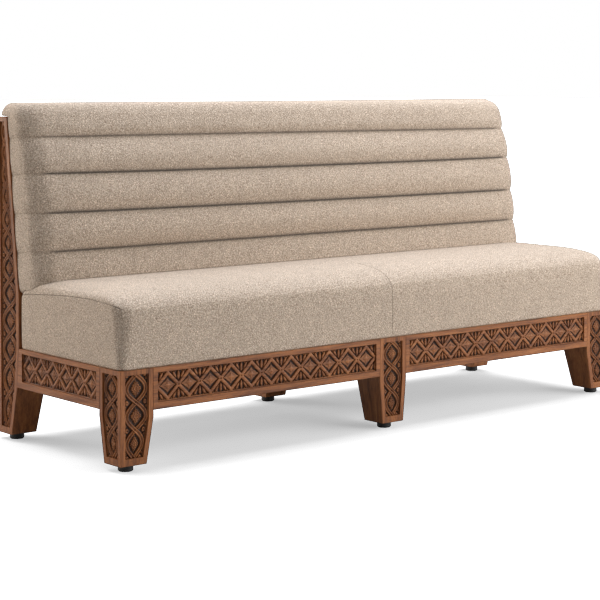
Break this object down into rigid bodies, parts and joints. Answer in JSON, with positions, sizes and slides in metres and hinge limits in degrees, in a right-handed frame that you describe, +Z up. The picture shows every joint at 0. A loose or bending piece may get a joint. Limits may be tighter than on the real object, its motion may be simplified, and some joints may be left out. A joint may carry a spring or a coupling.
{
  "type": "upholstered banquette bench",
  "caption": "Long bench seat with a channelled padded back, on a carved hardwood frame with tapered legs and levelling feet.",
  "frame": {"origin": "on the floor under the middle of the bench's box", "axes": "+X along the bench, to the right as seen from the front, +Y to the back, +Z up"},
  "size_m": [2, 0.65, 0.993],
  "materials": {
    "frame_wood": "satin",
    "carved_wood": "satin",
    "inner_wood": "matte",
    "plywood": "matte",
    "upholstery": "matte",
    "foam": "matte",
    "dust_cloth": "matte",
    "steel": "satin",
    "glide_plastic": "matte"
  },
  "bodies": {
    "root": {"back_board": "plywood", "back_cover": "upholstery", "back_foam": "foam", "back_lower_rail": "inner_wood", "back_rib_centre": "inner_wood", "back_rib_left": "inner_wood", "back_rib_right": "inner_wood", "back_top_rail": "inner_wood", "corner_block_front_left": "inner_wood", "corner_block_front_right": "inner_wood", "corner_block_rear_left": "inner_wood", "corner_block_rear_right": "inner_wood", "cross_rail": "inner_wood", "dust_cover": "dust_cloth", "front_leg_centre": "frame_wood", "front_leg_left": "frame_wood", "front_leg_right": "frame_wood", "front_panel_left": "carved_wood", "front_panel_right": "carved_wood", "front_rail_left": "frame_wood", "front_rail_right": "frame_wood", "leg_front_panel_centre": "carved_wood", "leg_front_panel_left": "carved_wood", "leg_front_panel_right": "carved_wood", "leg_side_panel_left": "carved_wood", "leg_side_panel_right": "carved_wood", "outside_back_cover": "upholstery", "post_panel_left": "carved_wood", "post_panel_right": "carved_wood", "rear_leg_centre": "frame_wood", "rear_post_left": "frame_wood", "rear_post_right": "frame_wood", "rear_rail_left": "frame_wood", "rear_rail_right": "frame_wood", "seat_board": "plywood", "seat_cleat_front_left": "inner_wood", "seat_cleat_front_right": "inner_wood", "seat_cleat_rear_left": "inner_wood", "seat_cleat_rear_right": "inner_wood", "seat_cover": "upholstery", "seat_foam": "foam", "side_panel_left": "carved_wood", "side_panel_right": "carved_wood", "side_rail_left": "frame_wood", "side_rail_right": "frame_wood", "tee_nuts": "steel", "wood_screws": "steel"},
    "glide_front_left": {"glide_pad_front_left": "glide_plastic", "glide_stem_front_left": "steel"},
    "glide_front_centre": {"glide_pad_front_centre": "glide_plastic", "glide_stem_front_centre": "steel"},
    "glide_front_right": {"glide_pad_front_right": "glide_plastic", "glide_stem_front_right": "steel"},
    "glide_rear_left": {"glide_pad_rear_left": "glide_plastic", "glide_stem_rear_left": "steel"},
    "glide_rear_centre": {"glide_pad_rear_centre": "glide_plastic", "glide_stem_rear_centre": "steel"},
    "glide_rear_right": {"glide_pad_rear_right": "glide_plastic", "glide_stem_rear_right": "steel"}
  },
  "joints": [
    {"name": "glide_front_left_adjust", "type": "slide", "parent": "root", "child": "glide_front_left", "axis": [0, 0, -1], "range_m": [0, 0.008]},
    {"name": "glide_front_centre_adjust", "type": "slide", "parent": "root", "child": "glide_front_centre", "axis": [0, 0, -1], "range_m": [0, 0.008]},
    {"name": "glide_front_right_adjust", "type": "slide", "parent": "root", "child": "glide_front_right", "axis": [0, 0, -1], "range_m": [0, 0.008]},
    {"name": "glide_rear_left_adjust", "type": "slide", "parent": "root", "child": "glide_rear_left", "axis": [0, 0, -1], "range_m": [0, 0.008]},
    {"name": "glide_rear_centre_adjust", "type": "slide", "parent": "root", "child": "glide_rear_centre", "axis": [0, 0, -1], "range_m": [0, 0.008]},
    {"name": "glide_rear_right_adjust", "type": "slide", "parent": "root", "child": "glide_rear_right", "axis": [0, 0, -1], "range_m": [0, 0.008]}
  ]
}
